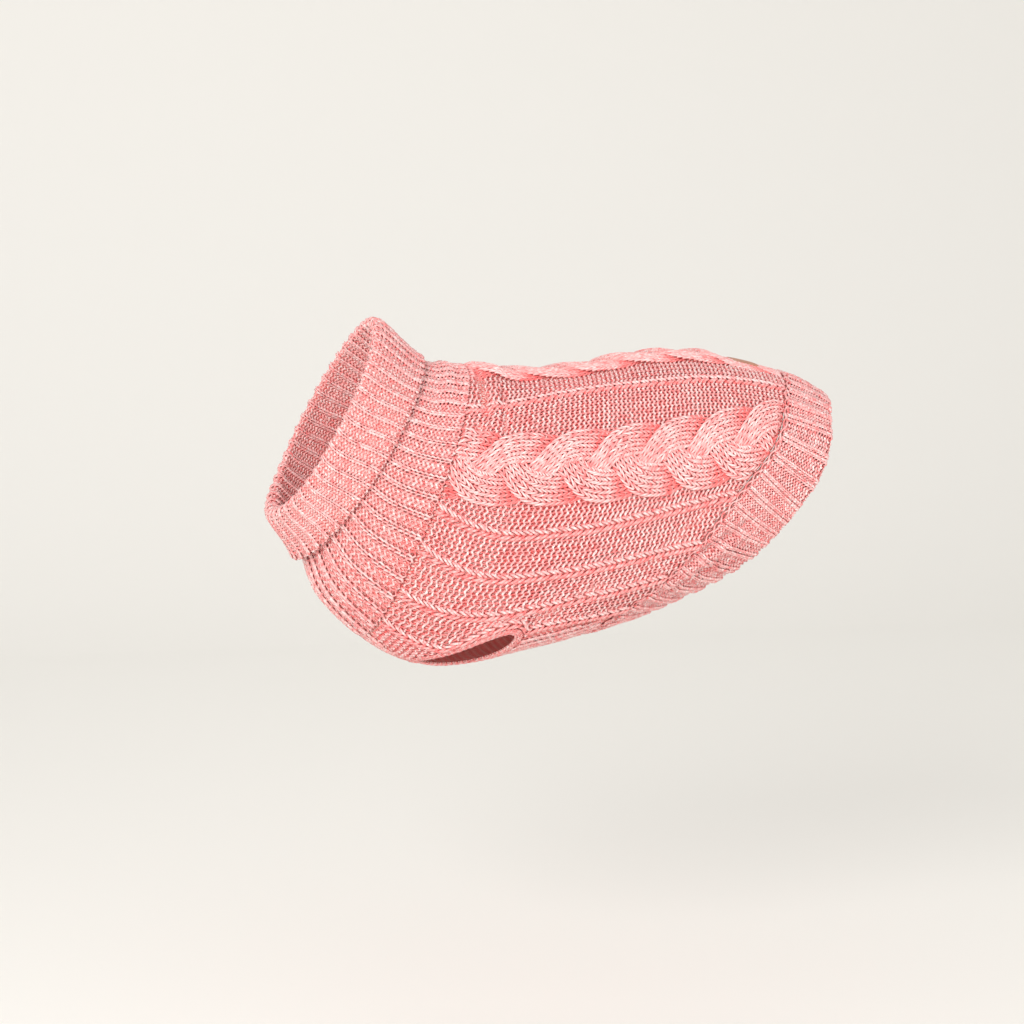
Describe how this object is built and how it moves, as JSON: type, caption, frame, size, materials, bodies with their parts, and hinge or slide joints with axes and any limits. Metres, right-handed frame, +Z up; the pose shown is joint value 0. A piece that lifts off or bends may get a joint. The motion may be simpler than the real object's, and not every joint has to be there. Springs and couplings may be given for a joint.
{
  "type": "dog sweater",
  "caption": "Cable-knit dog sweater in the hollow shape it has when worn, with a turned-down ribbed collar, leg openings and a ribbed hem that rises at the rear.",
  "frame": {"origin": "inside of the back in the middle plane at the withers, where the sweater hangs on its wearer", "axes": "+X from the neck to the tail, +Z up, the sweater's left side faces -Y"},
  "size_m": [0.3716, 0.1818, 0.2258],
  "materials": {
    "yarn": "matt knitted marled yarn",
    "leather": "satin"
  },
  "bodies": {
    "root": {"collar": "yarn", "yoke": "yarn", "back_panel": "yarn", "belly_panel": "yarn", "armhole_band_left": "yarn", "armhole_band_right": "yarn", "hem_band": "yarn", "label": "leather"}
  },
  "joints": []
}
